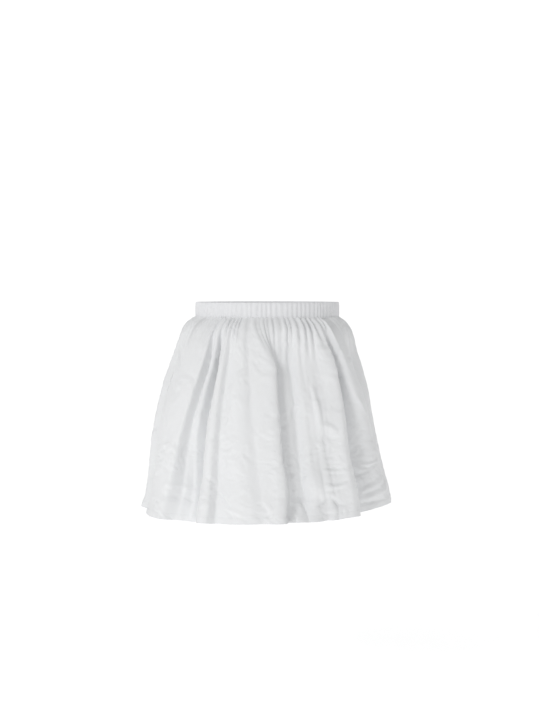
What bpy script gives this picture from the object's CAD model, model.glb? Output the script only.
"""The looks of a white cotton fustanella skirt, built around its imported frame.

Metres, +Z up. The origin is the centre of the waistband's top edge. The back of the skirt faces -Y,
the front +Y, and +X is on the right of someone who looks at the back.

A place round the skirt is a bearing in degrees: 0 at the middle of the back, 90 at +X, 180 at the
middle of the front and -90 at -X. A drop is a distance below the waistband's top edge. The tables of
the outline, the folds, the creases, the nudges and the casing's rings give lengths in millimetres.
"""

import math
import random
from collections import namedtuple

import bpy
import numpy as np
from bpy.props import FloatProperty, FloatVectorProperty, IntProperty, PointerProperty
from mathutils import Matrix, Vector


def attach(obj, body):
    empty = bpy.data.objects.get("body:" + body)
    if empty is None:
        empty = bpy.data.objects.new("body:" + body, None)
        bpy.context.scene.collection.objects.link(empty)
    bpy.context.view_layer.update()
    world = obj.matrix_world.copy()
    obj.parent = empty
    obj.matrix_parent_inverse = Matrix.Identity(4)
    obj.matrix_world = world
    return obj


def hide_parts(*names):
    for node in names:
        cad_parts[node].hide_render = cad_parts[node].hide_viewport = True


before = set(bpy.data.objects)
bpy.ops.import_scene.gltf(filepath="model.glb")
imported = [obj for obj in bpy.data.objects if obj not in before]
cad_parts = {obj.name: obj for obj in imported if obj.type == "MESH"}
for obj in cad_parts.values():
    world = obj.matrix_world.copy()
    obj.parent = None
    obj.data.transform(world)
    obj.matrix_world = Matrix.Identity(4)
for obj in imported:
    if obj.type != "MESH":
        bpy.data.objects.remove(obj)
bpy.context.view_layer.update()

bl_info = {
    "name": "Fustanella Skirt",
    "version": (1, 0, 0),
    "blender": (4, 5, 0),
    "location": "3D View > Sidebar > Skirt",
    "description": "Builds the cloth, sewing and studio of a gathered white cotton skirt",
    "category": "Object",
}

BODY = "root"

MILLIMETRES_TO_A_METRE = 1000
WHITE = (1.0, 1.0, 1.0, 1.0)


def rows_of(kind, *rows):
    """A table whose rows are records of one kind."""
    return tuple(kind(*row) for row in rows)


# Half sizes of the skirt's outline, over its fold crests, on each side at a drop
Section = namedtuple("Section", "drop left right back front")
OUTLINE = rows_of(
    Section,
    (40, 186, 186, 141, 141),
    (52, 204, 201, 156, 155),
    (72, 221, 215, 172, 169),
    (108, 238, 229, 189, 186),
    (165, 260, 247, 209, 205),
    (235, 282, 266, 229, 223),
    (310, 300, 279, 245, 238),
    (380, 311, 290, 257, 249),
    (440, 317, 305, 266, 257),
    (495, 326, 320, 274, 264),
    (545, 337, 323, 280, 269),
)

# One row for each fold, from the left side seam round the back, then the front. A fold is a crest and
# the valley after it, each with its bearing at the waist and at the hem and its inset from the outline
# at mid height and at the hem. Lean is how far the crest tips over its valley, and dip how far the crest
# hangs below the hem's own line.
Fold = namedtuple(
    "Fold",
    "name crest_waist crest_hem valley_waist valley_hem"
    " crest_mid_in crest_hem_in valley_mid_in valley_hem_in lean dip",
)
BACK_FOLDS = rows_of(
    Fold,
    ("left_wide", -38.5, -57, -35.5, -50, -8, -6, 26, 40, 15, 1),
    ("left_small", -34, -46.5, -32, -43, 22, 66, 55, 81, 2, 0),
    ("left_narrow", -26.5, -28, -23, -24.8, 0, 0, 14, 28, 2, 0),
    ("back_wide", -17.5, -8, -13, -1, 0, 1, 6, 6, 1, 1),
    ("back_edge", -11.3, -4.2, 4, 12, 0, 0, 40, 40, 46, 1),
    ("back_recess", 10.5, 14.5, 15.6, 21, 41, 46, 48, 55, 0, 0),
    ("back_soft", 21, 26.5, 25, 30, 30, 34, 27, 31, 1, 1),
    ("back_drag", 28.5, 35, 32.5, 37, 22, 18, 19, 13, 1, 1),
    ("right_edge", 36, 38.5, 44, 56, -4, 0, 52, 60, 24, -2),
    ("right_wide", 47, 80, 76, 87, -4, -2, 28, 34, 2, -6),
)
FRONT_FOLDS = rows_of(
    Fold,
    ("right_front", 92, 101, 105, 111, 0, -8, 26, 34, 6, -22),
    ("front_a", 117, 119, 126, 127, 2, 0, 22, 30, 6, 1),
    ("front_b", 136, 137, 147, 149, 0, 0, 34, 40, -8, 0),
    ("front_c", 157, 160, 165, 168, 4, 3, 18, 22, 4, 2),
    ("front_d", 177, 178, 189, 190, 0, 0, 36, 40, -14, 1),
    ("front_e", 198, 201, 206, 209, 3, 2, 18, 20, 2, 2),
    ("front_f", 219, 221, 230, 231, 0, 0, 30, 36, -10, 0),
    ("front_g", 240, 241, 250, 251, 3, 2, 22, 28, -4, 1),
    ("left_front", 260, 260, 276, 274, 0, 0, 22, 28, -4, 2),
)

# A fold line is a crest or a valley
Line = namedtuple("Line", "waist hem mid_in hem_in lean dip")

# A crease runs from one place to another, bowed sideways, as a soft ridge, or a trough where its height
# is below zero
Crease = namedtuple("Crease", "bearing drop bearing_to drop_to bow width height")
BACK_CREASES = rows_of(
    Crease,
    # The drag fold's ridge and the swag that it ends in
    (27.5, 195, 31, 325, 4, 6, 5.2),
    (29.6, 310, 39.5, 326, 10, 5.8, 4.8),
    (29, 342, 41, 352, 9, 12, -4),
    # The drag line that runs down the right side from the waist
    (44, 100, 57.5, 240, 4, 5, 3.4),
    (56, 225, 67, 310, 2, 5, 2.8),
    # Level wrinkles left of the right edge fold
    (31, 387, 38.5, 385, 1, 3.2, -1.8),
    (31.5, 400, 40, 400, -1, 3.2, -1.6),
    (30.5, 412.6, 41, 412.6, 1, 3.6, -4),
    (30.5, 421, 40, 421, 1, 3.2, 1.8),
    (32, 429, 40.5, 427, 1, 3.2, -1.8),
    (31, 447, 42, 439, -6, 3.6, -4),
    (30.5, 457, 41.5, 448, -6, 4, 2.4),
    (29.5, 468, 39, 460, -5, 3.6, -2.2),
    # The arch above the hem and the dents at its feet
    (25, 506, 33.5, 480, -7, 5.2, -6.2),
    (32.5, 480, 38.2, 505, -5, 5.2, -5),
    (28, 522, 34.5, 496, -8, 9, 5),
    (25.5, 518, 35.5, 514, -16, 7.5, 2.6),
    (35.5, 515, 43, 497, 6, 5.5, -1.6),
    # The scoop below the lit ridge's rounded end
    (14.5, 490, 29, 484, 2, 14, -8),
    # Right of the dark band, down to the hem
    (16.3, 474, 19.8, 532, 5, 5, -3.2),
    (20.5, 470, 23, 505, 4, 8, 2.4),
    (12.5, 498, 15.8, 527, 3, 5.5, -2.6),
    (12.5, 442, 17, 430, 2, 4, 1),
    (18.4, 430, 23, 418, -1, 3.8, 1.2),
    (18.7, 439, 23.5, 427, -1, 3.8, -1),
    # Chevron and hooked strokes right of the right edge fold
    (54.8, 425, 60.5, 442, 0, 4.2, -2.6),
    (59, 443, 67.5, 420, -1, 4.2, -2.8),
    (56.5, 412, 62, 430, 1, 4.2, 1.8),
    (61, 418, 70, 404, -8, 4.2, -3),
    (62, 404, 71, 393, -6, 4.2, -2.2),
    (61.5, 411, 70.5, 399, -7, 3.8, 1.8),
    # Slants in the lower right corner
    (60, 472, 73.5, 434, -3, 4.2, -2.4),
    (60.5, 482, 75, 443, -3, 4.2, 2.2),
    (61, 492, 76, 455, -3, 4.2, -2.4),
    (62, 502, 77, 468, -3, 4.2, 2),
    (58.5, 512, 73, 501, -2, 4.5, -2.4),
    # Left panel
    (-60, 366, -47.5, 343, -2, 5, 1.3),
    (-68, 435, -56, 425, 2, 5, 1.4),
    (-67, 446, -59, 440, 2, 4.5, -1.2),
    (-52, 458, -47, 482, 2, 6, -2.2),
    (-55, 405, -49, 425, -2, 6, -1.6),
    (-46, 478, -40, 462, 2, 5, 1.4),
    (-39, 370, -36.4, 388, 1, 5, -2.2),
    (-44, 410, -37.5, 398, 2, 4.5, -1.4),
    (-63, 495, -51, 508, 2, 5, -1.3),
    (-53, 452, -41, 488, 3, 8, 4),
    (-54, 478, -42, 512, 3, 8, -4),
    (-43, 500, -33, 507, 3, 5, -1.4),
    # Broad panel
    (-24.5, 327, -20, 324, 0, 3.8, 1),
    (-24, 335, -20.5, 334, 0, 3.8, -1),
    (-22, 366, -16, 376, 1, 3.8, 1.3),
    (-23, 375, -17.5, 383, 1, 3.8, -1),
    (-20, 388, -14.2, 386, 1, 3.8, 0.9),
    (-12, 352, -8, 349, 1, 3.8, 0.8),
    (-22, 437, -14, 435, 2, 3.8, -0.8),
    (-25, 472, -16.5, 508, 5, 4.8, -3.4),
    (-23.5, 467, -15, 503, 5, 4.8, 1.2),
    (-20.5, 513, -13.5, 539, 5, 4.8, -3),
    (-18, 512, -10, 524, 4, 6.5, 2),
    (-14.5, 517, -11.8, 537, 1, 4.2, -2),
    (-11, 529, -7.5, 538, 1, 4.2, -1.8),
    (-8, 520, -4.5, 535, 1, 4.2, 1.5),
    # Right of the middle, up to the big edge
    (-0.8, 396, 2.4, 405, 1, 3.8, 1.2),
    (-2.2, 420, 2.6, 425, 1, 3.8, 1),
    (-4, 490, 0.8, 521, 4, 4.8, -2),
    (-2.5, 488, 2.4, 514, 4, 5, 1.3),
    (-1.7, 528, 2.1, 519, 1, 4.2, -1.8),
    (1, 530, 4, 520, 1, 4.2, 1.4),
)
FRONT_CREASES = rows_of(
    Crease,
    (150, 230, 156, 320, 6, 6.5, 4),
    (154, 305, 161, 342, 8, 6, 3.6),
    (154, 330, 161, 360, 8, 8, -3.2),
    (128, 430, 141, 422, 3, 4, -2.2),
    (127, 442, 139, 434, -3, 4, 1.8),
    (129, 455, 140, 449, -4, 4, -2),
    (112, 470, 122, 440, -3, 4.2, -2.2),
    (111, 486, 123, 455, -3, 4.2, 1.8),
    (168, 470, 178, 512, 6, 4.5, -2.6),
    (170, 512, 178, 538, 5, 4.5, -2.6),
    (172, 510, 181, 522, 4, 6, 2.2),
    (196, 365, 203, 376, 1, 3.6, 1.3),
    (194, 388, 202, 386, 1, 3.6, -1.1),
    (198, 437, 206, 434, 2, 3.6, 1),
    (214, 506, 221, 482, -6, 5, -3.2),
    (220, 482, 227, 504, -5, 5, -2.8),
    (216, 518, 226, 514, -14, 7, 2.4),
    (232, 466, 246, 440, -4, 4.5, -2.2),
    (231, 478, 247, 452, -4, 4.5, 1.8),
    (252, 430, 264, 415, 3, 4.5, 1.6),
    (256, 370, 268, 352, -2, 5, 1.3),
    (250, 500, 262, 507, 3, 4.5, -1.6),
)

# A nudge moves the cloth round one place sideways and outwards, over a width and a height
Nudge = namedtuple("Nudge", "bearing drop width height sideways outwards")
BACK_NUDGES = rows_of(
    Nudge,
    # The big edge bows out above the hem and comes back at it
    (6.5, 455, 30, 45, 7, 0),
    (6.5, 540, 30, 35, -8, 0),
    # The drag fold swells above its swag and the cloth below falls back
    (33.5, 285, 22, 40, 0, 5),
    (36, 395, 20, 45, 0, -3),
    # The lit ridge right of the dark band ends in a rounded belly
    (26, 446, 30, 44, 0, 13),
    (20.5, 562, 48, 40, 4, 34),
)
FRONT_NUDGES = rows_of(
    Nudge,
    (158, 290, 22, 40, 0, 5),
    (159, 395, 20, 45, 0, -3),
    (201, 450, 20, 50, 4, 3),
    (221, 530, 30, 35, -6, 0),
)

# A panel of cloth: its own folds, the folds before them and how far round those are turned back, its
# creases and nudges, how wide it is cut at the top and at the hem, and the seed of its unevenness
Panel = namedtuple("Panel", "side folds folds_before turned_back creases nudges top_width hem_width seed")
PANELS = (
    Panel("back", BACK_FOLDS, FRONT_FOLDS, -360.0, BACK_CREASES, BACK_NUDGES, 0.76, 1.12, 20),
    Panel("front", FRONT_FOLDS, BACK_FOLDS, 0.0, FRONT_CREASES, FRONT_NUDGES, 0.80, 1.15, 50),
)

# What a panel's seed is moved on by for its crumples' patches, its crumples' layers and its hem's puckers
PATCH_SEED = 1
LAYER_SEED = 2
PUCKER_SEED = 9

# A layer of crumples has dents of one size, in metres, drawn out by a factor along a line that is turned
# from the way down the skirt by an angle in degrees
Crumple = namedtuple("Crumple", "size drawn turn height sharpness")
CRUMPLES = (
    Crumple(0.070, 1.4, 14, 0.0022, 0.2),
    Crumple(0.034, 0.8, -27, 0.0013, 0.6),
    Crumple(0.017, 0.55, 17, 0.0009, 0.9),
)
CRUMPLE_EDGE = 0.8
CRUMPLE_BEND = 0.018
CRUMPLE_BEND_SIZE = 0.045
# Crumples are stronger in some patches than in others, between the weakest and the strongest share
CRUMPLE_PATCH_SIZE = 0.08
CRUMPLE_PATCH_CONTRAST = 1.1
CRUMPLE_WEAKEST = 0.35
CRUMPLE_STRONGEST = 1.35

# The noise is smooth between random slopes on a grid of this many places, which then repeats
NOISE_TABLE = 256
NOISE_RANGE = 1.6
NOISE_OFFSET = (31.7, 11.3)

# Places tried between two fold lines when the columns are spaced evenly
PLACES_TRIED = 60

# The gathers at the waistband: how many a panel has and how uneven they are, as shares
GATHERS = 36
GATHER_WIDTH_SPREAD = 0.55
GATHER_HEIGHT_SPREAD = 0.55
GATHER_SHORTEST = 0.25
# Gathers are flatter at the seam than below it, over the first stretch, and their edges a little sharp
GATHER_AT_SEAM = 0.7
GATHER_SWELL_LENGTH = 0.02
GATHER_EDGE = 0.8

# How a crease fades out towards its ends, as a power
CREASE_END = 0.8

# The hem: puckers between its stitches and its edge, the dip along the stitches, and how far inside the
# cloth its turned layer lies, in cloth walls
HEM_PUCKER_WIDTH = 0.007
HEM_PUCKER_HEIGHT = 0.030
HEM_PUCKER_RISE = 0.0007
HEM_EDGE_FADE = 0.003
HEM_TOP_FADE = 0.008
HEM_DIP = 0.0003
HEM_DIP_WIDTH = 0.0022
HEM_LAYER_GAP = 2.4

# Distances between the rows of the panels' cloth, and how far down the cloth each stretch ends
RowStretch = namedtuple("RowStretch", "step end")
ROW_STRETCHES = (
    RowStretch(0.0022, 0.03),
    RowStretch(0.0048, 0.29),
    RowStretch(0.003, 0.479),
    RowStretch(0.0017, 0.501),
)

# How far a panel's top edge runs up inside the casing
TUCK_HEIGHT = 0.004

# A panel's edge turns in at the side seam
SEAM_TURN = 0.006
SEAM_TURN_STEPS = 3

# The casing's puckers, and how uneven their widths and heights are
BAND_PUCKERS = 92
BAND_PUCKER_STEPS = 6
BAND_PUCKER_RISE = 0.0009
BAND_WIDTH_SPREAD = 0.3
BAND_HEIGHT_SPREAD = 0.4
BAND_SEED = 11

# A ring of the casing, from its lower edge up the outside, over its top and down the inside: share of
# the height from the top, share of the wall inward from the outer face, lift and share of puckers
BandRing = namedtuple("BandRing", "down inward lift pucker")
BAND_RINGS = rows_of(
    BandRing,
    (1, 0.9, 0, 0.3),
    (1, 0.35, 0, 0.5),
    (0.985, 0, -0.2, 0.7),
    (0.94, 0, 0, 0.9),
    (0.88, 0, -0.3, 0.8),
    (0.8, 0, 0.1, 1),
    *((down, 0, 0.2, 1) for down in (0.7, 0.6, 0.5, 0.4, 0.3)),
    (0.2, 0, 0.1, 1),
    (0.12, 0, -0.3, 0.8),
    (0.07, 0, 0.1, 0.75),
    (0.03, 0, -0.3, 0.6),
    (0.008, 0.25, 0, 0.5),
    (0, 0.5, 0, 0.45),
    (0.008, 0.78, 0, 0.4),
    (0.04, 1, 0, 0.4),
    (0.3, 1, 0, 0.8),
    (0.6, 1, 0, 0.8),
    (0.95, 1, 0, 0.5),
)
# The rings that carry the casing's two rows of stitches
BAND_STITCH_RINGS = (4, 12)

# A ring of one stitch: share of its length, height over the cloth and thickness, in thread radii
StitchRing = namedtuple("StitchRing", "along height thickness")
STITCH_RINGS = (
    StitchRing(0, -1.2, 0.35),
    StitchRing(0.12, -0.1, 0.9),
    StitchRing(0.5, 0.55, 1),
    StitchRing(0.88, -0.1, 0.9),
    StitchRing(1, -1.2, 0.35),
)
STITCH_SIDES = 6

# Distance between the diagonal bands of a wave texture of scale 1, in metres
WAVE_SPACING = 2 * math.pi / (10 * math.sqrt(3))

# The weave: slubs to a thread's pitch, their detail, and the threads' height as a share of the slubs'
SLUB_SCALE = 0.06
SLUB_DETAIL = 3.0
THREAD_SHARE = 0.5

# The small crumples: how they bend, their dents and the ridges between them, in crumple sizes
BEND_SCALE = 0.9
BEND_DETAIL = 2.0
BEND_REACH = 1.4
DENT_SCALE = 0.8
DENT_DETAIL = 4.0
DENT_ROUGHNESS = 0.55
RIDGE_SCALE = 0.7
RIDGE_WIDTH = 0.35
RIDGE_SHARE = 0.35

# Distance between two nodes of a material in the node editor
NODE_STEP = (220, 200)

# How the big folds grow below the waistband, as in the frame
SEAM_GAP = 0.0003
FOLD_FULL_SHARE = 0.26
FOLD_MID_SHARE = 0.42
CREST_ROUNDNESS = 1.25
# How far below its last row the outline runs on, as a share of the distance between its last two
OUTLINE_OVERRUN = 0.2
# A valley hangs lower by this share of its inset
VALLEY_DIP = 0.13

# How far the hem's own line rises at the right and at both sides, and how late it does so at the sides
HEM_RISE_TO_RIGHT = 0.007
HEM_RISE_TO_SIDES = 0.012
HEM_RISE_POWER = 6


class SkirtShape(bpy.types.PropertyGroup):
    """Sizes of the cloth and of its gathers, hem and seams."""

    waist_half_width: FloatProperty(
        name="Waist Half Width", description="Half the band's width", default=0.186, unit="LENGTH"
    )
    waist_half_depth: FloatProperty(
        name="Waist Half Depth", description="Half the band's depth", default=0.141, unit="LENGTH"
    )
    band_height: FloatProperty(
        name="Band Height", description="Height of the casing", default=0.04, unit="LENGTH"
    )
    band_wall: FloatProperty(
        name="Band Wall", description="Thickness of casing and elastic", default=0.0024, unit="LENGTH"
    )
    hem_drop: FloatProperty(
        name="Hem Drop", description="From the band's top to the hem", default=0.541, unit="LENGTH"
    )
    cloth_wall: FloatProperty(
        name="Cloth Wall", description="Thickness of the cotton", default=0.0005, unit="LENGTH"
    )
    hem_turn: FloatProperty(
        name="Hem Turn", description="Height of the turned hem", default=0.0155, unit="LENGTH"
    )
    gather_rise: FloatProperty(
        name="Gather Rise", description="Height of the gathers", default=0.0034, unit="LENGTH"
    )
    gather_length: FloatProperty(
        name="Gather Length", description="How far the longest gathers run", default=0.19, unit="LENGTH"
    )
    column_step: FloatProperty(
        name="Column Step", description="Distance between the cloth's columns", default=0.0036, unit="LENGTH"
    )
    stitch_length: FloatProperty(
        name="Stitch Length", description="Length of one stitch", default=0.0026, unit="LENGTH"
    )
    stitch_gap: FloatProperty(
        name="Stitch Gap", description="Gap between stitches", default=0.0008, unit="LENGTH"
    )
    thread_radius: FloatProperty(
        name="Thread Radius", description="Half the thread's thickness", default=0.00022, unit="LENGTH"
    )


class SkirtFinish(bpy.types.PropertyGroup):
    """Colours and surface of the cotton and of the thread."""

    cotton: FloatVectorProperty(
        name="Cotton", description="Colour of the cloth", subtype="COLOR", default=(0.84, 0.845, 0.86)
    )
    thread: FloatVectorProperty(
        name="Thread", description="Colour of the stitches", subtype="COLOR", default=(0.80, 0.805, 0.82)
    )
    weave_pitch: FloatProperty(
        name="Weave Pitch", description="Distance between threads", default=0.0004, unit="LENGTH"
    )
    weave_depth: FloatProperty(
        name="Weave Depth", description="Height of the threads", default=0.000025, unit="LENGTH"
    )
    crumple_size: FloatProperty(
        name="Crumple Size", description="Width of the small crumples", default=0.012, unit="LENGTH"
    )
    crumple_depth: FloatProperty(
        name="Crumple Depth", description="Depth of the panels' crumples", default=0.005, unit="LENGTH"
    )
    band_crumple_depth: FloatProperty(
        name="Band Crumple Depth", description="Depth of the casing's crumples", default=0.001, unit="LENGTH"
    )
    tone_depth: FloatProperty(
        name="Tone Depth", description="The cotton's darkest tone as a share of its lightest", default=0.965
    )
    smoothest: FloatProperty(name="Smoothest", description="The cotton's lowest roughness", default=0.82)
    roughest: FloatProperty(name="Roughest", description="The cotton's highest roughness", default=0.95)
    gloss: FloatProperty(name="Gloss", description="How far the cotton and thread reflect", default=0.25)
    sheen: FloatProperty(name="Sheen", description="The cotton's soft sheen", default=0.12)
    thread_roughness: FloatProperty(
        name="Thread Roughness", description="Roughness of the thread", default=0.6
    )
    ply_pitch: FloatProperty(
        name="Ply Pitch", description="Distance between the thread's plies", default=0.0004, unit="LENGTH"
    )
    ply_depth: FloatProperty(
        name="Ply Depth", description="Depth between the plies", default=0.00005, unit="LENGTH"
    )
    ply_tone: FloatProperty(
        name="Ply Tone", description="Tone between the plies as a share of the thread's", default=0.9
    )


class SkirtStudio(bpy.types.PropertyGroup):
    """Camera, floor and lights."""

    camera_distance: FloatProperty(
        name="Camera Distance", description="From the camera to the waist", default=4.5, unit="LENGTH"
    )
    camera_rise: FloatProperty(
        name="Camera Rise", description="Camera's height over the waist", default=0.057, unit="LENGTH"
    )
    camera_side: FloatProperty(
        name="Camera Side", description="Camera's place right of the waist", default=0.007, unit="LENGTH"
    )
    camera_pitch: FloatProperty(
        name="Camera Pitch", description="How far the camera looks down", default=math.radians(2.65),
        subtype="ANGLE",
    )
    lens: FloatProperty(name="Lens", description="Focal length in millimetres", default=86.5)
    sensor_width: FloatProperty(
        name="Sensor Width", description="Width of the camera's sensor in millimetres", default=36.0
    )
    floor_drop: FloatProperty(
        name="Floor Drop", description="From the waist to the floor", default=1.043, unit="LENGTH"
    )
    floor_front: FloatProperty(
        name="Floor Front", description="How far the floor runs before the skirt", default=7.0, unit="LENGTH"
    )
    floor_back: FloatProperty(
        name="Floor Back", description="How far it runs behind the skirt", default=3.0, unit="LENGTH"
    )
    floor_half_width: FloatProperty(
        name="Floor Half Width", description="Half the floor's width", default=8.0, unit="LENGTH"
    )
    sweep_radius: FloatProperty(
        name="Sweep Radius", description="Radius of the curve up to the backdrop", default=1.5, unit="LENGTH"
    )
    backdrop_height: FloatProperty(
        name="Backdrop Height", description="Height of the backdrop", default=5.0, unit="LENGTH"
    )
    sweep_steps: IntProperty(name="Sweep Steps", description="Steps of the curve", default=12)
    floor_colour: FloatVectorProperty(
        name="Floor Colour", description="Colour of the floor", subtype="COLOR", default=(0.93, 0.93, 0.93)
    )
    floor_roughness: FloatProperty(name="Floor Roughness", description="Roughness of the floor", default=0.9)
    floor_glow: FloatProperty(name="Floor Glow", description="Light that the floor gives off", default=0.42)
    key_place: FloatVectorProperty(
        name="Key Place", description="Place of the key light", subtype="XYZ", default=(-2.3, -3.6, 1.9)
    )
    key_size: FloatProperty(
        name="Key Size", description="Width of the key light", default=1.1, unit="LENGTH"
    )
    key_power: FloatProperty(
        name="Key Power", description="Power of the key light, on the left", default=62.0, unit="POWER"
    )
    rim_place: FloatVectorProperty(
        name="Rim Place", description="Place of the rim light", subtype="XYZ", default=(3.0, 1.6, 0.4)
    )
    rim_size: FloatProperty(
        name="Rim Size", description="Width of the rim light", default=2.0, unit="LENGTH"
    )
    rim_power: FloatProperty(
        name="Rim Power", description="Power of the rim light, on the right", default=10.0, unit="POWER"
    )
    light_aim: FloatVectorProperty(
        name="Light Aim", description="Where both lights point", subtype="XYZ", default=(0.0, 0.0, -0.3)
    )
    sky_strength: FloatProperty(name="Sky Strength", description="Light from all round", default=0.45)


def smooth_step(share):
    share = np.clip(share, 0.0, 1.0)
    return share * share * (3.0 - 2.0 * share)


def mix(first, second, share):
    return first + (second - first) * share


def metres(millimetres):
    return millimetres / MILLIMETRES_TO_A_METRE


def in_metres(record):
    """A crease or a nudge with its lengths in metres. Its bearings stay in degrees."""
    sizes = {name: metres(size) for name, size in record._asdict().items() if "bearing" not in name}
    return record._replace(**sizes)


def lengths_of(vectors):
    return np.linalg.norm(vectors, axis=-1)


def run_of(steps):
    """The distance run at each place along a row of steps."""
    return np.concatenate([[0.0], np.cumsum(steps)])


def oval(half_width, half_depth, turn, height):
    """Points at a turn round an oval and at a height."""
    height = np.broadcast_to(height, turn.shape)
    return np.stack([half_width * np.sin(turn), -half_depth * np.cos(turn), height], axis=-1)


def outline_at(drop):
    """The outline's half sizes at each drop, as left, right, back and front in the last axis."""
    table = metres(np.array(OUTLINE))
    drops, sizes = table[:, 0], table[:, 1:]
    slopes = np.empty_like(sizes)
    slopes[1:-1] = (sizes[2:] - sizes[:-2]) / (drops[2:] - drops[:-2])[:, None]
    slopes[0] = (sizes[1] - sizes[0]) / (drops[1] - drops[0])
    slopes[-1] = (sizes[-1] - sizes[-2]) / (drops[-1] - drops[-2])
    row = np.clip(np.searchsorted(drops, drop, side="right") - 1, 0, len(drops) - 2)
    run = drops[row + 1] - drops[row]
    share = np.clip((drop - drops[row]) / run, 0.0, 1.0 + OUTLINE_OVERRUN)[..., None]
    run = run[..., None]
    cube, square = share**3, share**2
    return (
        (2 * cube - 3 * square + 1) * sizes[row]
        + (cube - 2 * square + share) * slopes[row] * run
        + (3 * square - 2 * cube) * sizes[row + 1]
        + (cube - square) * slopes[row + 1] * run
    )


def lines_of(folds, turn=0.0):
    """The crests and valleys of a row of folds, in turn."""
    lines = []
    for fold in folds:
        crest = (fold.crest_waist + turn, fold.crest_hem + turn, fold.crest_mid_in, fold.crest_hem_in)
        valley = (fold.valley_waist + turn, fold.valley_hem + turn, fold.valley_mid_in, fold.valley_hem_in)
        lines.append(Line(*crest, fold.lean, fold.dip))
        lines.append(Line(*valley, 0, 0))
    return lines


def panel_lines(panel):
    """A panel runs from the valley before its first crest to its own last valley."""
    return lines_of(panel.folds_before, panel.turned_back)[-1:] + lines_of(panel.folds)


class Surface:
    """A panel's cloth as rows and columns of points, with each point's bearing and drop.

    A column's place is the number of the fold line before it, plus the share of the way to the next.
    """

    def __init__(self, lines, places, shares):
        shape = bpy.context.scene.skirt_shape
        share = self.share = np.array(shares)[:, None]
        number = np.minimum(places.astype(int), len(lines) - 2)
        first = np.array(lines)[number]
        following = np.array(lines)[number + 1]
        waist, hem, mid_in, hem_in, lean, dip = range(len(Line._fields))

        def between(field, way):
            return mix(first[:, field], following[:, field], way)

        along = places - number
        falling = 0.5 - 0.5 * np.cos(np.pi * along**CREST_ROUNDNESS)
        rising = 0.5 + 0.5 * np.cos(np.pi * (1.0 - along) ** CREST_ROUNDNESS)
        # The first line is a valley, so the cloth rises after every second line
        ease = np.where(number % 2 == 0, rising, falling)
        to_hem = smooth_step((share - FOLD_MID_SHARE) / (1.0 - FOLD_MID_SHARE))
        growth = smooth_step(share / FOLD_FULL_SHARE)
        inset = metres(mix(between(mid_in, ease), between(hem_in, ease), to_hem)) * growth
        lean_by = metres(between(lean, ease)) * growth
        dip_by = metres(between(dip, ease)) * share
        turn = np.radians(mix(between(waist, along), between(hem, along), share))
        sideways = np.sin(turn)
        hem_rise = HEM_RISE_TO_RIGHT * sideways + HEM_RISE_TO_SIDES * sideways**HEM_RISE_POWER
        hem_drop = shape.hem_drop - hem_rise + dip_by + VALLEY_DIP * inset
        self.drop = mix(shape.band_height + SEAM_GAP, hem_drop, share)
        left, right, back, front = np.moveaxis(outline_at(self.drop), -1, 0)
        half_width = np.where(np.sin(turn) > 0, right, left)
        half_depth = np.where(np.cos(turn) > 0, back, front)
        turn = turn + lean_by / (0.5 * (half_width + half_depth))
        self.bearing = np.degrees(turn)
        self.points = oval(half_width - inset, half_depth - inset, turn, -self.drop)

    def normals(self):
        """The outward direction at each point."""
        down = np.gradient(self.points, axis=0)
        across = np.gradient(self.points, axis=1)
        normal = np.cross(across, -down)
        return normal / np.linalg.norm(normal, axis=-1, keepdims=True)

    def push(self, heights):
        """Moves the points out of the skirt by these heights."""
        self.points = self.points + self.normals() * heights[..., None]


def even_places(lines):
    """Column places that lie one even step apart along the cloth, half way down and at the hem."""
    dense = np.linspace(0.0, len(lines) - 1.0, PLACES_TRIED * (len(lines) - 1) + 1)
    trial = Surface(lines, dense, (0.5, 1.0))
    run = run_of(lengths_of(np.diff(trial.points, axis=1)).mean(axis=0))
    count = round(run[-1] / bpy.context.scene.skirt_shape.column_step)
    return np.interp(np.linspace(0.0, run[-1], count + 1), run, dense)


def gather_heights(surface, seed):
    """Uneven gathers that open out below the waistband, each over its own length."""
    shape = bpy.context.scene.skirt_shape
    rng = np.random.default_rng(seed)
    widths = rng.uniform(1.0 - GATHER_WIDTH_SPREAD, 1.0 + GATHER_WIDTH_SPREAD, GATHERS)
    edges = run_of(widths) / widths.sum()
    rises = rng.uniform(1.0 - GATHER_HEIGHT_SPREAD, 1.0 + GATHER_HEIGHT_SPREAD, GATHERS + 1)
    lengths = rng.uniform(GATHER_SHORTEST, 1.0, GATHERS + 1) * shape.gather_length
    row = lengths_of(np.diff(surface.points[0], axis=0))
    run = run_of(row) / row.sum()
    turns = np.interp(run, edges, np.arange(GATHERS + 1))
    rise = np.interp(turns, np.arange(GATHERS + 1), rises) * shape.gather_rise
    length = np.interp(turns, np.arange(GATHERS + 1), lengths)
    below = surface.drop - shape.band_height
    fade = 1.0 - smooth_step(below / length)
    swell = mix(GATHER_AT_SEAM, 1.0, smooth_step(below / GATHER_SWELL_LENGTH))
    wave = np.cos(2 * np.pi * turns)
    wave = np.sign(wave) * np.abs(wave) ** GATHER_EDGE
    steps = lengths_of(np.gradient(surface.points, axis=1))
    room = np.clip(steps / steps[:1], 0.0, 1.0)
    return -rise * wave * fade * swell * room


def radius_at(drop):
    """The mean of the outline's half sizes at one drop."""
    return float(outline_at(np.array(drop)).mean())


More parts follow.
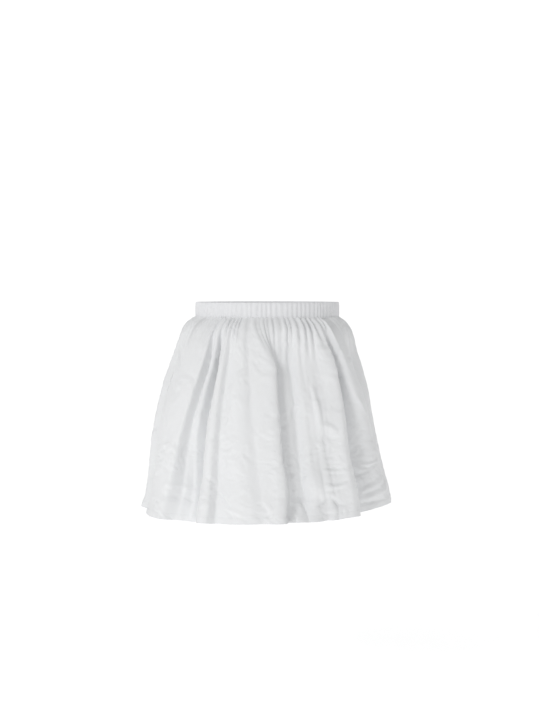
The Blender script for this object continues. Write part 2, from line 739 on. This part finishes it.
def crease_heights(surface, creases):
    """The sum of the creases' heights at each point of a surface."""
    heights = np.zeros_like(surface.drop)
    for crease in map(in_metres, creases):
        radius = radius_at(crease.drop)
        start = np.array([math.radians(crease.bearing) * radius, crease.drop])
        end = np.array([math.radians(crease.bearing_to) * radius, crease.drop_to])
        length = np.linalg.norm(end - start)
        along_way = (end - start) / length
        across = np.radians(surface.bearing) * radius - start[0]
        down = surface.drop - start[1]
        share = (across * along_way[0] + down * along_way[1]) / length
        aside = across * along_way[1] - down * along_way[0]
        # The bow is fullest half way along, where the product of the shares is a quarter
        aside = aside - crease.bow * 4.0 * share * (1.0 - share)
        inside = np.clip(share, 0.0, 1.0)
        ends = np.abs(np.sin(np.pi * inside)) ** CREASE_END
        heights += crease.height * np.exp(-((aside / crease.width) ** 2)) * ends
    return heights


def nudge(surface, nudges):
    """Moves the cloth round each nudge's place."""
    normals = surface.normals()
    turn = np.radians(surface.bearing)
    sideways = np.stack([np.cos(turn), np.sin(turn), np.zeros_like(turn)], axis=-1)
    for one in map(in_metres, nudges):
        across = np.radians(surface.bearing - one.bearing) * radius_at(one.drop) / one.width
        down = (surface.drop - one.drop) / one.height
        reach = np.exp(-(across**2) - down**2)[..., None]
        surface.points = surface.points + reach * (sideways * one.sideways + normals * one.outwards)


def uneven(across, down, seed):
    """Smooth noise between about -1 and 1 whose dents are about one unit wide."""
    rng = np.random.default_rng(seed)
    turns = rng.uniform(0, 2 * np.pi, (NOISE_TABLE, NOISE_TABLE))
    column, row = np.floor(across).astype(int), np.floor(down).astype(int)
    right, below = across - column, down - row
    ease_right, ease_below = smooth_step(right), smooth_step(below)

    def corner(step_right, step_below):
        turn = turns[(column + step_right) % NOISE_TABLE, (row + step_below) % NOISE_TABLE]
        return np.cos(turn) * (right - step_right) + np.sin(turn) * (below - step_below)

    upper = mix(corner(0, 0), corner(1, 0), ease_right)
    lower = mix(corner(0, 1), corner(1, 1), ease_right)
    return NOISE_RANGE * mix(upper, lower, ease_below)


def crumple_heights(surface, seed):
    """Dents with sharp bent ridges between them, stronger in some patches than in others."""
    around, down = np.moveaxis(flat_places(surface.points), -1, 0)
    bend = CRUMPLE_BEND_SIZE
    around = around + CRUMPLE_BEND * uneven(around / bend, down / bend, seed)
    down = down + CRUMPLE_BEND * uneven(around / bend + NOISE_OFFSET[0], down / bend + NOISE_OFFSET[1], seed)
    patches = uneven(around / CRUMPLE_PATCH_SIZE, down / CRUMPLE_PATCH_SIZE, seed + PATCH_SEED)
    patches = smooth_step(0.5 + CRUMPLE_PATCH_CONTRAST * patches)
    heights = np.zeros_like(down)
    for number, layer in enumerate(CRUMPLES):
        turn = math.radians(layer.turn)
        across_it = around * math.cos(turn) - down * math.sin(turn)
        along_it = around * math.sin(turn) + down * math.cos(turn)
        length = layer.size * layer.drawn
        dents = uneven(across_it / layer.size, along_it / length, seed + LAYER_SEED + number)
        ridges = 1.0 - 2.0 * np.abs(dents) ** CRUMPLE_EDGE
        heights += layer.height * mix(dents, ridges, layer.sharpness)
    return heights * mix(CRUMPLE_WEAKEST, CRUMPLE_STRONGEST, patches)


def cloth_shares():
    """Rows of the cloth as shares of its length."""
    places = [0.0]
    for stretch in ROW_STRETCHES:
        start = places[-1]
        count = round((stretch.end - start) / stretch.step)
        places.extend(mix(start, stretch.end, (number + 1) / count) for number in range(count))
    return [place / places[-1] for place in places]


def new_mesh(name, points, faces):
    mesh = bpy.data.meshes.new(name)
    mesh.from_pydata(points, [], faces)
    mesh.shade_smooth()
    return mesh


def mesh_from_grid(name, points, places):
    """A mesh of rows by columns whose faces point out, with its flat places in metres as UVs."""
    rows, columns = points.shape[:2]
    numbers = np.arange(rows * columns).reshape(rows, columns)
    faces = np.stack([numbers[:-1, :-1], numbers[1:, :-1], numbers[1:, 1:], numbers[:-1, 1:]], axis=-1)
    mesh = new_mesh(name, points.reshape(-1, 3).tolist(), faces.reshape(-1, 4).tolist())
    corners = places.reshape(-1, 2)[faces]
    mesh.uv_layers.new(name="cloth").data.foreach_set("uv", corners.ravel())
    return mesh


def flat_places(points):
    """Each point's distance along its row and down its column."""
    across = lengths_of(np.diff(points, axis=1))
    down = lengths_of(np.diff(points, axis=0))
    across = np.concatenate([np.zeros((len(points), 1)), np.cumsum(across, axis=1)], axis=1)
    down = np.concatenate([np.zeros((1, points.shape[1])), np.cumsum(down, axis=0)], axis=0)
    middle = across[:, -1:] / 2
    return np.stack([across - middle, np.broadcast_to(down.mean(axis=1)[:, None], down.shape)], axis=-1)


def hem_heights(surface, seed):
    """Small puckers between the hem's stitches and its edge, and the dip along the stitches."""
    shape = bpy.context.scene.skirt_shape
    above = (1.0 - surface.share) * (shape.hem_drop - shape.band_height)
    across = flat_places(surface.points)[..., 0]
    puckers = uneven(across / HEM_PUCKER_WIDTH, above / HEM_PUCKER_HEIGHT, seed + PUCKER_SEED)
    within = smooth_step(above / HEM_EDGE_FADE)
    within = within * (1.0 - smooth_step((above - shape.hem_turn) / HEM_TOP_FADE))
    line = np.exp(-(((above - shape.hem_turn) / HEM_DIP_WIDTH) ** 2))
    return HEM_PUCKER_RISE * puckers * within - HEM_DIP * line


def tucked_top(surface):
    """A row that runs up into the casing, so that no gap shows between the gathers."""
    shape = bpy.context.scene.skirt_shape
    turn = np.radians(surface.bearing[:1])
    wall = shape.band_wall / 2
    height = TUCK_HEIGHT - shape.band_height
    return oval(shape.waist_half_width - wall, shape.waist_half_depth - wall, turn, height)


def turned_hem(surface, gap):
    """Rows that go round the hem's edge and up inside it."""
    normals = surface.normals()
    first = hem_row(surface)
    inside = surface.points[first:-1][::-1] - normals[first:-1][::-1] * gap
    edge = surface.points[-1:] - normals[-1:] * gap / 2
    edge[..., 2] -= gap / 2
    return np.concatenate([edge, inside])


def at_places(places, run, vectors):
    """The values of a row of vectors at places along its run."""
    return np.stack([np.interp(places, run, vectors[:, axis]) for axis in range(3)], axis=-1)


def stitch_points(points, normals):
    """The points of stitches along a row of the cloth, each sunk at both its ends."""
    shape = bpy.context.scene.skirt_shape
    run = run_of(lengths_of(np.diff(points, axis=0)))
    pitch = shape.stitch_length + shape.stitch_gap
    starts = np.arange(pitch / 2, run[-1] - pitch, pitch)
    radius = shape.thread_radius
    rings = []
    for ring in STITCH_RINGS:
        place = starts + ring.along * shape.stitch_length
        centre = at_places(place, run, points)
        out = at_places(place, run, normals)
        ahead = at_places(place + radius, run, points) - centre
        ahead /= np.linalg.norm(ahead, axis=-1, keepdims=True)
        side = np.cross(out, ahead)
        for number in range(STITCH_SIDES):
            angle = 2 * math.pi * number / STITCH_SIDES
            reach = side * math.cos(angle) + out * math.sin(angle)
            rings.append(centre + out * ring.height * radius + reach * ring.thickness * radius)
    return np.array(rings).transpose(1, 0, 2).reshape(-1, 3)


def stitch_faces(count):
    """The faces of stitches with this many points in all: their caps and their sides."""
    sides = STITCH_SIDES
    last_ring = sides * (len(STITCH_RINGS) - 1)
    faces = []
    for base in range(0, count, last_ring + sides):
        faces.append(list(range(base, base + sides))[::-1])
        faces.append(list(range(base + last_ring, base + last_ring + sides)))
        for low in range(base, base + last_ring, sides):
            for number in range(sides):
                following = (number + 1) % sides
                faces.append([low + number, low + following, low + sides + following, low + sides + number])
    return faces


def stitches(name, rows):
    """One piece of thread along each of these rows of (points, normals)."""
    points = np.concatenate([stitch_points(*row) for row in rows])
    mesh = new_mesh(name, points.tolist(), stitch_faces(len(points)))
    return piece_of(name, mesh, bpy.data.materials["thread"])


def seam_turns(points, normals):
    """Columns that turn into the skirt at both side seams."""
    inward = np.linspace(0.0, SEAM_TURN, SEAM_TURN_STEPS + 1)[1:]
    left = points[:, :1] - normals[:, :1] * inward[::-1][None, :, None]
    right = points[:, -1:] - normals[:, -1:] * inward[None, :, None]
    return np.concatenate([left, points, right], axis=1)


def piece_of(name, mesh, material):
    """A visible piece of the skirt, on its one body."""
    mesh.materials.append(material)
    piece = bpy.data.objects.new(name, mesh)
    bpy.context.scene.collection.objects.link(piece)
    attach(piece, BODY)
    return piece


def new_group(name, inputs, outputs):
    """An empty shader group with these (name, kind) sockets."""
    group = bpy.data.node_groups.new(name, "ShaderNodeTree")
    for label, kind in inputs:
        group.interface.new_socket(label, in_out="INPUT", socket_type=kind)
    for label, kind in outputs:
        group.interface.new_socket(label, in_out="OUTPUT", socket_type=kind)
    return group


def add_node(tree, kind, column, row, **settings):
    """A node at a column and row of the node editor, with these settings."""
    node = tree.nodes.new(kind)
    node.location = (column * NODE_STEP[0], row * NODE_STEP[1])
    for name, value in settings.items():
        setattr(node, name, value)
    return node


def fill(node, inputs):
    """Gives a node's inputs these values, or links them where a value is another node's output."""
    for name, value in inputs.items():
        if isinstance(value, bpy.types.NodeSocket):
            node.id_data.links.new(value, node.inputs[name])
        else:
            node.inputs[name].default_value = value


def scaled_place(group, size_name):
    """The group's place, divided by the size that it is given under this name."""
    start = add_node(group, "NodeGroupInput", -5, 0)
    size = add_node(group, "ShaderNodeCombineXYZ", -5, -1)
    fill(size, {axis: start.outputs[size_name] for axis in "XYZ"})
    scaled = add_node(group, "ShaderNodeVectorMath", -4, 0, operation="DIVIDE")
    fill(scaled, {0: start.outputs["Place"], 1: size.outputs["Vector"]})
    return scaled.outputs["Vector"]


def weave_group():
    """Plain weave: threads over and under each other, in the cloth's own flat places."""
    group = new_group(
        "Plain Weave",
        [("Place", "NodeSocketVector"), ("Pitch", "NodeSocketFloat")],
        [("Height", "NodeSocketFloat"), ("Slub", "NodeSocketFloat")],
    )
    place = scaled_place(group, "Pitch")
    checks = add_node(group, "ShaderNodeTexChecker", -3, 1)
    fill(checks, {"Vector": place, "Scale": 1.0})
    slubs = add_node(group, "ShaderNodeTexNoise", -3, -1)
    fill(slubs, {"Vector": place, "Scale": SLUB_SCALE, "Detail": SLUB_DETAIL})
    height = add_node(group, "ShaderNodeMath", -2, 0, operation="MULTIPLY_ADD")
    fill(height, {0: checks.outputs["Fac"], 1: THREAD_SHARE, 2: slubs.outputs["Fac"]})
    end = add_node(group, "NodeGroupOutput", -1, 0)
    fill(end, {"Height": height.outputs["Value"], "Slub": slubs.outputs["Fac"]})


def crumple_group():
    """Crumples: soft dents with fine sharp ridges between them."""
    group = new_group(
        "Crumple",
        [("Place", "NodeSocketVector"), ("Size", "NodeSocketFloat")],
        [("Height", "NodeSocketFloat"), ("Shade", "NodeSocketFloat")],
    )
    place = scaled_place(group, "Size")
    bend = add_node(group, "ShaderNodeTexNoise", -4, -2)
    fill(bend, {"Vector": place, "Scale": BEND_SCALE, "Detail": BEND_DETAIL})
    bent = add_node(group, "ShaderNodeVectorMath", -3, 0, operation="MULTIPLY_ADD")
    fill(bent, {0: bend.outputs["Color"], 1: (BEND_REACH, BEND_REACH, BEND_REACH), 2: place})
    bent_place = bent.outputs["Vector"]
    dents = add_node(group, "ShaderNodeTexNoise", -2, 1)
    fill(dents, {"Vector": bent_place, "Scale": DENT_SCALE, "Detail": DENT_DETAIL})
    fill(dents, {"Roughness": DENT_ROUGHNESS})
    cells = add_node(group, "ShaderNodeTexVoronoi", -2, -1, feature="DISTANCE_TO_EDGE")
    fill(cells, {"Vector": bent_place, "Scale": RIDGE_SCALE})
    ridges = add_node(group, "ShaderNodeMapRange", -1, -1, interpolation_type="SMOOTHERSTEP")
    fill(ridges, {"Value": cells.outputs["Distance"], "From Max": RIDGE_WIDTH, "To Min": 1.0, "To Max": 0.0})
    height = add_node(group, "ShaderNodeMath", 0, 0, operation="MULTIPLY_ADD")
    fill(height, {0: ridges.outputs["Result"], 1: RIDGE_SHARE, 2: dents.outputs["Fac"]})
    end = add_node(group, "NodeGroupOutput", 1, 0)
    fill(end, {"Height": height.outputs["Value"], "Shade": dents.outputs["Fac"]})


def new_material(name):
    """The node tree and the surface shader of a new material."""
    material = bpy.data.materials.new(name)
    material.use_nodes = True
    return material.node_tree, material.node_tree.nodes["Principled BSDF"]


def toned_colour(tree, tone, depth, colour):
    """A colour, down to a share of itself where the tone is 0."""
    darkest = [depth * part for part in colour]
    blend = add_node(tree, "ShaderNodeMix", -2, 1, data_type="RGBA")
    fill(blend, {"Factor": tone, "A": (*darkest, 1.0), "B": (*colour, 1.0)})
    return blend.outputs["Result"]


def raised(tree, column, height, depth, under=None):
    """A bump of this depth in metres over the bump under it."""
    bump = add_node(tree, "ShaderNodeBump", column, -1)
    fill(bump, {"Height": height, "Distance": depth})
    if under is not None:
        fill(bump, {"Normal": under})
    return bump.outputs["Normal"]


def cotton_material(name, crumple_depth):
    """White cotton: plain weave, small crumples, a faint unevenness of tone and a soft sheen."""
    finish = bpy.context.scene.skirt_finish
    tree, shader = new_material(name)
    place = add_node(tree, "ShaderNodeUVMap", -4, 0, uv_map="cloth").outputs["UV"]
    weave = add_node(tree, "ShaderNodeGroup", -3, 1, node_tree=bpy.data.node_groups["Plain Weave"])
    fill(weave, {"Place": place, "Pitch": finish.weave_pitch})
    crumple = add_node(tree, "ShaderNodeGroup", -3, -1, node_tree=bpy.data.node_groups["Crumple"])
    fill(crumple, {"Place": place, "Size": finish.crumple_size})
    rough = add_node(tree, "ShaderNodeMapRange", -2, 0)
    fill(rough, {"Value": weave.outputs["Slub"], "To Min": finish.smoothest, "To Max": finish.roughest})
    colour = toned_colour(tree, crumple.outputs["Shade"], finish.tone_depth, finish.cotton)
    crumpled = raised(tree, -2, crumple.outputs["Height"], crumple_depth)
    woven = raised(tree, -1, weave.outputs["Height"], finish.weave_depth, crumpled)
    fill(shader, {"Base Color": colour, "Roughness": rough.outputs["Result"], "Normal": woven})
    fill(shader, {"Specular IOR Level": finish.gloss, "Sheen Weight": finish.sheen})


def thread_material():
    """Sewing thread: plies that show as slanting bands."""
    finish = bpy.context.scene.skirt_finish
    tree, shader = new_material("thread")
    place = add_node(tree, "ShaderNodeTexCoord", -4, 0)
    plies = add_node(tree, "ShaderNodeTexWave", -3, 0, bands_direction="DIAGONAL")
    fill(plies, {"Vector": place.outputs["Object"], "Scale": WAVE_SPACING / finish.ply_pitch})
    colour = toned_colour(tree, plies.outputs["Fac"], finish.ply_tone, finish.thread)
    bump = raised(tree, -2, plies.outputs["Fac"], finish.ply_depth)
    fill(shader, {"Base Color": colour, "Normal": bump})
    fill(shader, {"Roughness": finish.thread_roughness, "Specular IOR Level": finish.gloss})


class SKIRT_OT_fabric(bpy.types.Operator):
    """Makes the cotton and the groups that give it its weave and crumples."""

    bl_idname = "skirt.fabric"
    bl_label = "Cotton"

    def execute(self, context):
        finish = context.scene.skirt_finish
        weave_group()
        crumple_group()
        cotton_material("cotton", finish.crumple_depth)
        cotton_material("band_cotton", finish.band_crumple_depth)
        thread_material()
        return {"FINISHED"}


def panel_cloth(name, panel):
    """One panel: folds, gathers and creases, its turned hem and its seam turns."""
    shape = bpy.context.scene.skirt_shape
    lines = panel_lines(panel)
    surface = Surface(lines, even_places(lines), cloth_shares())
    nudge(surface, panel.nudges)
    surface.push(gather_heights(surface, panel.seed))
    surface.push(crease_heights(surface, panel.creases))
    surface.push(crumple_heights(surface, panel.seed))
    surface.push(hem_heights(surface, panel.seed))
    normals = surface.normals()
    hem = turned_hem(surface, HEM_LAYER_GAP * shape.cloth_wall)
    points = np.concatenate([tucked_top(surface), surface.points, hem])
    normals = np.concatenate([normals[:1], normals, np.broadcast_to(normals[-1:], hem.shape)])
    points = seam_turns(points, normals)
    mesh = mesh_from_grid(name, points, flat_places(points))
    return mesh, surface


def hem_row(surface):
    """The row of a panel's cloth that lies at the top of its turned hem."""
    shape = bpy.context.scene.skirt_shape
    above = (1.0 - surface.share[:, 0]) * (shape.hem_drop - shape.band_height)
    return int(np.argmin(np.abs(above - shape.hem_turn)))


class SKIRT_OT_panels(bpy.types.Operator):
    """Makes the back and front panels of cotton."""

    bl_idname = "skirt.panels"
    bl_label = "Panels"

    def execute(self, context):
        shape = context.scene.skirt_shape
        for panel in PANELS:
            name = f"{panel.side}_cloth"
            mesh, surface = panel_cloth(name, panel)
            piece = piece_of(name, mesh, bpy.data.materials["cotton"])
            wall = piece.modifiers.new("wall", "SOLIDIFY")
            wall.thickness = shape.cloth_wall
            wall.offset = -1.0
            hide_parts(f"{panel.side}_panel")
            row = hem_row(surface)
            stitches(f"{panel.side}_hem_stitches", [(surface.points[row], surface.normals()[row])])
        return {"FINISHED"}


def band_puckers():
    """The bearing, in radians, and the rise from -1 to about 1, of each column of the casing."""
    rng = random.Random(BAND_SEED)
    count = BAND_PUCKERS
    widths = [1.0 + BAND_WIDTH_SPREAD * rng.uniform(-1.0, 1.0) for _ in range(count)]
    heights = [1.0 + BAND_HEIGHT_SPREAD * rng.uniform(-1.0, 1.0) for _ in range(count)]
    edges = 2 * math.pi * run_of(widths) / sum(widths)
    turn, rise = [], []
    for number in range(count):
        for step in range(BAND_PUCKER_STEPS):
            share = step / BAND_PUCKER_STEPS
            turn.append(mix(edges[number], edges[number + 1], share))
            height = heights[number] if step else (heights[number] + heights[number - 1]) / 2
            rise.append(-height * math.cos(2 * math.pi * share))
    return np.array(turn), np.array(rise)


def band_ring(ring, turn, rise):
    """The points of one ring of the casing."""
    shape = bpy.context.scene.skirt_shape
    out = metres(ring.lift) - ring.inward * shape.band_wall + rise * BAND_PUCKER_RISE * ring.pucker
    height = -shape.band_height * ring.down
    return oval(shape.waist_half_width + out, shape.waist_half_depth + out, turn, height)


def band_mesh(points, turn):
    """The casing's closed skin, with its flat places in metres as UVs."""
    shape = bpy.context.scene.skirt_shape
    rings, columns = points.shape[:2]
    numbers = np.arange(rings * columns).reshape(rings, columns)
    beside = np.roll(numbers, -1, axis=1)
    faces = np.stack([numbers, beside, np.roll(beside, -1, axis=0), np.roll(numbers, -1, axis=0)], axis=-1)
    mesh = new_mesh("waistband_cloth", points.reshape(-1, 3).tolist(), faces.reshape(-1, 4).tolist())
    radius = (shape.waist_half_width + shape.waist_half_depth) / 2
    around = radius * np.append(turn, 2 * math.pi)
    start = np.broadcast_to(around[:-1], (rings, columns))
    end = np.broadcast_to(around[1:], (rings, columns))
    height = points[..., 2]
    height_after = np.roll(height, -1, axis=0)
    places = np.stack([start, height, end, height, end, height_after, start, height_after], axis=-1)
    mesh.uv_layers.new(name="cloth").data.foreach_set("uv", places.ravel())
    return mesh


class SKIRT_OT_waistband(bpy.types.Operator):
    """Makes the puckered casing over its elastic."""

    bl_idname = "skirt.waistband"
    bl_label = "Waistband"

    def execute(self, context):
        turn, rise = band_puckers()
        points = np.array([band_ring(ring, turn, rise) for ring in BAND_RINGS])
        mesh = band_mesh(points, turn)
        piece = piece_of("waistband_cloth", mesh, bpy.data.materials["band_cotton"])
        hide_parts("waistband")
        outward = oval(1.0, 1.0, turn, 0.0)
        stitches("band_stitches", [(points[number], outward) for number in BAND_STITCH_RINGS])
        return {"FINISHED"}


def floor_material():
    """The pale floor, which gives off a little light."""
    studio = bpy.context.scene.skirt_studio
    _, shader = new_material("floor")
    fill(shader, {"Base Color": (*studio.floor_colour, 1.0), "Roughness": studio.floor_roughness})
    fill(shader, {"Emission Color": WHITE, "Emission Strength": studio.floor_glow})
    return bpy.data.materials["floor"]


def sweep():
    """A floor that curves up into a backdrop."""
    studio = bpy.context.scene.skirt_studio
    radius = studio.sweep_radius
    profile = [(-studio.floor_front, 0.0)]
    for step in range(studio.sweep_steps + 1):
        turn = math.pi / 2 * step / studio.sweep_steps
        profile.append((studio.floor_back + radius * math.sin(turn), radius - radius * math.cos(turn)))
    profile.append((studio.floor_back + radius, studio.backdrop_height))
    sides = (-studio.floor_half_width, studio.floor_half_width)
    points = [(x, y, z - studio.floor_drop) for y, z in profile for x in sides]
    faces = [(2 * row, 2 * row + 1, 2 * row + 3, 2 * row + 2) for row in range(len(profile) - 1)]
    mesh = new_mesh("floor", points, faces)
    mesh.materials.append(floor_material())
    return bpy.data.objects.new("floor", mesh)


def area_light(name, place, power, size):
    """A square light that points at the skirt."""
    studio = bpy.context.scene.skirt_studio
    data = bpy.data.lights.new(name, "AREA")
    data.energy = power
    data.size = size
    lamp = bpy.data.objects.new(name, data)
    lamp.location = place
    aim = Vector(studio.light_aim) - Vector(place)
    lamp.rotation_euler = aim.to_track_quat("-Z", "Y").to_euler()
    bpy.context.scene.collection.objects.link(lamp)


class SKIRT_OT_studio(bpy.types.Operator):
    """Makes the camera, the pale floor and the soft lights."""

    bl_idname = "skirt.studio"
    bl_label = "Studio"

    def execute(self, context):
        studio = context.scene.skirt_studio
        scene = context.scene
        camera_data = bpy.data.cameras.new("camera")
        camera_data.lens = studio.lens
        camera_data.sensor_width = studio.sensor_width
        camera = bpy.data.objects.new("camera", camera_data)
        camera.location = (studio.camera_side, -studio.camera_distance, studio.camera_rise)
        camera.rotation_euler = (math.pi / 2 - studio.camera_pitch, 0.0, 0.0)
        scene.collection.objects.link(camera)
        scene.camera = camera

        floor = sweep()
        scene.collection.objects.link(floor)
        area_light("key", studio.key_place, studio.key_power, studio.key_size)
        area_light("rim", studio.rim_place, studio.rim_power, studio.rim_size)
        world = bpy.data.worlds.new("sky")
        world.use_nodes = True
        fill(world.node_tree.nodes["Background"], {"Color": WHITE, "Strength": studio.sky_strength})
        scene.world = world
        scene.view_settings.view_transform = "Standard"
        return {"FINISHED"}


class SKIRT_PT_sidebar(bpy.types.Panel):
    """Lists the skirt's sizes, colours and steps."""

    bl_idname = "SKIRT_PT_sidebar"
    bl_label = "Fustanella Skirt"
    bl_space_type = "VIEW_3D"
    bl_region_type = "UI"
    bl_category = "Skirt"

    def draw(self, context):
        layout = self.layout
        for settings in (context.scene.skirt_shape, context.scene.skirt_finish, context.scene.skirt_studio):
            column = layout.column(align=True)
            for name in type(settings).__annotations__:
                column.prop(settings, name)
        for step in STEPS:
            layout.operator(step.bl_idname)


SETTINGS = {"skirt_shape": SkirtShape, "skirt_finish": SkirtFinish, "skirt_studio": SkirtStudio}
STEPS = (SKIRT_OT_fabric, SKIRT_OT_waistband, SKIRT_OT_panels, SKIRT_OT_studio)


def register():
    for group in SETTINGS.values():
        bpy.utils.register_class(group)
    for name, group in SETTINGS.items():
        setattr(bpy.types.Scene, name, PointerProperty(type=group))
    for step in STEPS:
        bpy.utils.register_class(step)
    bpy.utils.register_class(SKIRT_PT_sidebar)


def unregister():
    bpy.utils.unregister_class(SKIRT_PT_sidebar)
    for step in reversed(STEPS):
        bpy.utils.unregister_class(step)
    for name in SETTINGS:
        delattr(bpy.types.Scene, name)
    for group in SETTINGS.values():
        bpy.utils.unregister_class(group)


def main():
    register()
    bpy.ops.skirt.fabric()
    bpy.ops.skirt.waistband()
    bpy.ops.skirt.panels()
    bpy.ops.skirt.studio()


if __name__ == "__main__":
    main()
